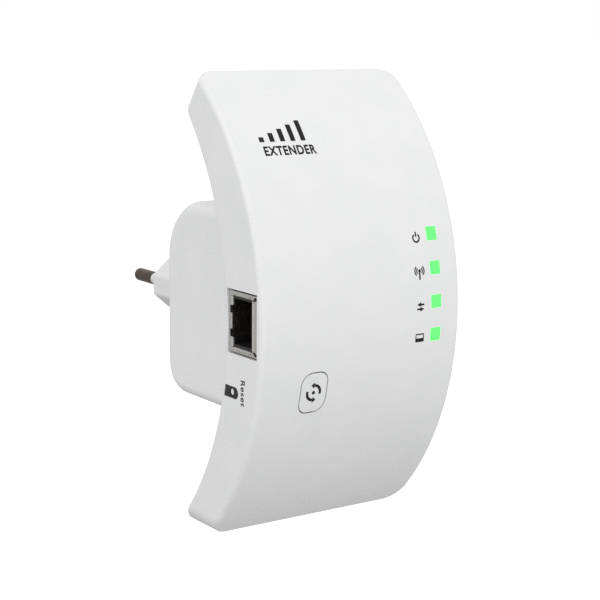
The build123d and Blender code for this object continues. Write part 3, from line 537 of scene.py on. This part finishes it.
# Electrolytic cans, fuse resistor and disc capacitor
# Printed shrink sleeve on the cans, green flame-proof lacquer on the resistor and dipped blue
# epoxy on the disc, each glossy and a little uneven.
shrink_sleeve = moulded("shrunk_polyester_sleeve", "#14161C", "#1D2029", 0.22, 0.8 * mm, 0.01 * mm)
paint(shrink_sleeve, "bulk_capacitors", "output_capacitors")
lacquer = moulded("flameproof_lacquer", "#5E8C6E", "#4E7A5D", 0.35, 0.5 * mm, 0.01 * mm)
paint(lacquer, "fuse_resistor")
dipped_epoxy = moulded("dipped_epoxy", "#2A5FA8", "#234F8F", 0.25, 0.9 * mm, 0.02 * mm)
paint(dipped_epoxy, "safety_capacitor")

# Plug
# The boat-shaped base is moulded round the pins in white ABS with a drier gloss than the covers.
# Pins are turned brass under nickel that has dulled; sleeves are white nylon; contacts bronze.
plug_abs = moulded("plug_moulded_abs", "#E9E9E8", "#DFE0E0", 0.4, 0.4 * mm, 0.003 * mm)
paint(plug_abs, "plug_base")
dull_nickel = plated("dull_nickel_on_brass", "#75665C", "#382C27", 0.22, 0.15 * mm, 1)
paint(dull_nickel, "left_pin", "right_pin")
sleeve_nylon = moulded("white_sleeve_nylon", "#E9E8E5", "#DEDDDA", 0.36, 0.3 * mm, 0.002 * mm)
paint(sleeve_nylon, "pin_sleeves")
contact_bronze = plated("rolled_bronze", "#B98956", "#9C6F42", 0.35, 0.15 * mm, 2)
paint(contact_bronze, "pin_contacts")

# Fasteners
# Cold-headed steel with bright zinc, which leaves a bluish-grey satin.
zinc_steel = plated("zinc_plated_steel", "#AEB2B8", "#8F949B", 0.32, 0.12 * mm, 1)
paint(zinc_steel, "cover_screws", "board_screws")

# Insulation sheet
# Thin clear polyester, slightly hazy, with a smooth cut edge.
clear_film = moulded("clear_polyester_film", "#DCE3E6", "#D2DADF", 0.15, 1.2 * mm, 0.004 * mm, 1.6)
paint(clear_film, "insulation_sheet")

# Rating label
# White polyester label stock with a dry, faintly fibrous face.
label_stock = moulded("polyester_label_stock", "#F6F6F3", "#EDEDEA", 0.5, 0.2 * mm, 0.002 * mm)
paint(label_stock, "rating_label")
label_low, label_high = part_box("rating_label")


def on_label(across, up, lift):
    """A point of the label's own artwork."""
    middle = (label_low + label_high) / 2
    return Vector((label_high.x + lift, middle.y + across, middle.z + up))


rule_width = 0.25
rules = bmesh.new()
for up in (-10.6, -6.4, -2.2, 2.0, 10.6):
    stroke(rules, [(-12.4, up), (12.4, up)], rule_width)
for across in (-12.5, 12.5):
    stroke(rules, [(across, -10.72), (across, 10.72)], rule_width)
for place in range(5):
    left, top = -10.5 + place * 2.2, 5.4 + place * 0.8
    patch(rules, [(left, 4.2), (left + 1.2, 4.2), (left + 1.2, top), (left, top)])
printed("label_rules", rules, on_label)

# Camera
# It looks at the left of the front from a little above, aimed at the third window's height.
azimuth = math.radians(-34.45)
elevation = math.radians(10.21)
roll = math.radians(0.46)
look_at = Vector((-8.90, -69.78, 5.16)) * mm
distance = 412.7 * mm
focal_length = 92.84
back = Vector(
    (math.sin(azimuth) * math.cos(elevation), -math.cos(azimuth) * math.cos(elevation), math.sin(elevation))
)
level = Vector((math.cos(azimuth), math.sin(azimuth), 0.0))
upright = back.cross(level)
right = level * math.cos(roll) + upright * math.sin(roll)
up = upright * math.cos(roll) - level * math.sin(roll)
camera_data = bpy.data.cameras.new("camera")
camera_data.sensor_width = 36.0
camera_data.lens = focal_length
camera_data.clip_start = 0.01
camera = bpy.data.objects.new("camera", camera_data)
turn = Matrix((right, up, back)).transposed().to_4x4()
camera.matrix_world = Matrix.Translation(look_at + back * distance) @ turn
bpy.context.collection.objects.link(camera)
bpy.context.scene.camera = camera

# Floor and light
# A plain pale floor well below the part, which the wall would hold, under a soft white studio
# sky that is darker below, with a narrow softbox high on the left and a broad one above the front.
floor_drop = 300 * mm
floor_mesh = bpy.data.meshes.new("floor")
disc = bmesh.new()
bmesh.ops.create_circle(disc, cap_ends=True, segments=64, radius=30.0)
disc.to_mesh(floor_mesh)
disc.free()
floor = bpy.data.objects.new("floor", floor_mesh)
floor.location.z = cad_box[0].z - floor_drop
floor.visible_diffuse = False
floor.visible_glossy = False
bpy.context.collection.objects.link(floor)
floor_paint, _, shader, _ = surface("pale_floor_paint", Roughness=0.9)
shader.inputs["Base Color"].default_value = linear("#F7F7F7")
shader.inputs["Emission Color"].default_value = linear("#FFFFFF")
shader.inputs["Emission Strength"].default_value = 0.35
floor_mesh.materials.append(floor_paint)

world = bpy.data.worlds.new("studio")
world.use_nodes = True
bpy.context.scene.world = world
tree = world.node_tree
tree.nodes.clear()
sky_level = 0.88
sky_slope = (-0.01, -0.20, 0.07)
sky_dusk = 0.50
sky = add(tree, "TexCoord", {})
slope = add(tree, "VectorMath", {"operation": "DOT_PRODUCT", 1: sky_slope}, {0: sky.outputs["Generated"]})
upper = add(tree, "Math", {"operation": "ADD", 1: sky_level}, {0: slope.outputs["Value"]})
heights = add(tree, "SeparateXYZ", {}, {"Vector": sky.outputs["Generated"]})
below = add(tree, "Math", {"operation": "MINIMUM", 1: 0.0}, {0: heights.outputs["Z"]})
dusk = {0: below.outputs[0], 2: upper.outputs[0]}
strength = add(tree, "Math", {"operation": "MULTIPLY_ADD", 1: sky_dusk}, dusk)
sky_light = add(tree, "Background", {"Color": linear("#FFFFFF")}, {"Strength": strength.outputs[0]})
paper = add(tree, "Background", {"Color": linear("#FFFFFF"), "Strength": 1.0})
seen = add(tree, "LightPath", {}).outputs["Is Camera Ray"]
both = add(tree, "MixShader", {}, {0: seen, 1: sky_light.outputs[0], 2: paper.outputs[0]})
add(tree, "OutputWorld", {}, {"Surface": both.outputs[0]})


def softbox(name, direction, away, width, tall, power):
    """A rectangular studio light that faces the part."""
    lamp = bpy.data.lights.new(name, "AREA")
    lamp.shape = "RECTANGLE"
    lamp.size = width
    lamp.size_y = tall
    lamp.energy = power
    box = bpy.data.objects.new(name, lamp)
    towards = Vector(direction).normalized()
    box.location = look_at + towards * away
    box.rotation_euler = towards.to_track_quat("Z", "Y").to_euler()
    bpy.context.collection.objects.link(box)


softbox("left_strip", (-0.77, -0.27, 0.57), 0.9, 0.06, 0.9, 0.9)
softbox("top_front", (0.0, -0.6, 0.85), 1.0, 0.9, 0.6, 0.3)
bpy.context.scene.view_settings.view_transform = "Standard"
